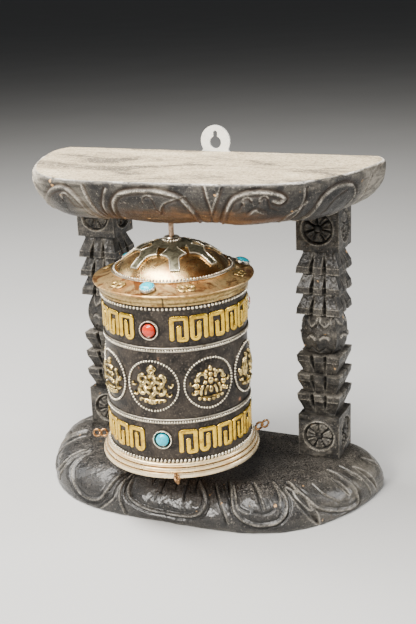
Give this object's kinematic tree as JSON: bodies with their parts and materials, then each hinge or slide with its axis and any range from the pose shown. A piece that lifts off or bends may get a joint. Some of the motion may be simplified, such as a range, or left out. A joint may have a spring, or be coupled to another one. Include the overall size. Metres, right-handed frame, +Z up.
{
  "type": "prayer wheel",
  "caption": "Wall or table prayer wheel: a carved wooden stand with a decorated metal drum that turns on an upright spindle.",
  "frame": {"origin": "centre of the object's box at its underside, in the plane the base board rests on", "axes": "+Z up, -Y towards the front, +X to the right as seen from the front"},
  "size_m": [0.25, 0.1388, 0.2496],
  "materials": {
    "carved_wood": "worn black paint",
    "zinc": "zinc plated",
    "brass": "polished",
    "copper": "polished copper",
    "dark_metal": "blackened",
    "white_metal": "oxidised silver colour",
    "gilt": "gilt",
    "paper": "matte paper",
    "coral": "polished stone",
    "turquoise": "polished stone"
  },
  "bodies": {
    "stand": {"base_board": "carved_wood", "top_board": "carved_wood", "left_post": "carved_wood", "right_post": "carved_wood", "hanger_plate": "zinc", "hanger_screw_left": "zinc", "hanger_screw_right": "zinc", "spindle": "brass", "rest_collar": "brass", "thrust_washer": "brass", "top_washer": "white_metal"},
    "drum": {"bottom_plate": "copper", "lower_bush": "brass", "upper_bush": "brass", "core_tube": "copper", "prayer_scroll": "paper", "drum_shell": "dark_metal", "bottom_flange": "brass", "bead_ring_low": "white_metal", "bead_ring_high": "white_metal", "double_ring_low": "white_metal", "double_ring_high": "white_metal", "ornament_band_low": "gilt", "ornament_band_high": "gilt", "lid_brim": "copper", "dome": "copper", "dome_overlay": "white_metal", "dome_bead_ring": "white_metal", "apex_ring": "white_metal", "medallion_1": "white_metal", "medallion_2": "white_metal", "medallion_3": "white_metal", "medallion_4": "white_metal", "medallion_5": "white_metal", "medallion_6": "white_metal", "medallion_7": "white_metal", "medallion_8": "white_metal", "coral_1_bezel": "white_metal", "coral_1_stone": "coral", "coral_2_bezel": "white_metal", "coral_2_stone": "coral", "coral_3_bezel": "white_metal", "coral_3_stone": "coral", "turquoise_1_bezel": "white_metal", "turquoise_1_stone": "turquoise", "turquoise_2_bezel": "white_metal", "turquoise_2_stone": "turquoise", "turquoise_3_bezel": "white_metal", "turquoise_3_stone": "turquoise", "lid_turquoise_1_bezel": "white_metal", "lid_turquoise_1_stone": "turquoise", "lid_turquoise_2_bezel": "white_metal", "lid_turquoise_2_stone": "turquoise", "lid_turquoise_3_bezel": "white_metal", "lid_turquoise_3_stone": "turquoise", "wire_loop_left": "brass", "wire_loop_front": "brass", "wire_loop_right": "brass", "wire_loop_back": "brass"}
  },
  "joints": [
    {"name": "drum_spin", "type": "hinge", "parent": "stand", "child": "drum", "pos_m": [0, -0.00988, 0.12], "axis": [0, 0, 1], "continuous": true}
  ]
}
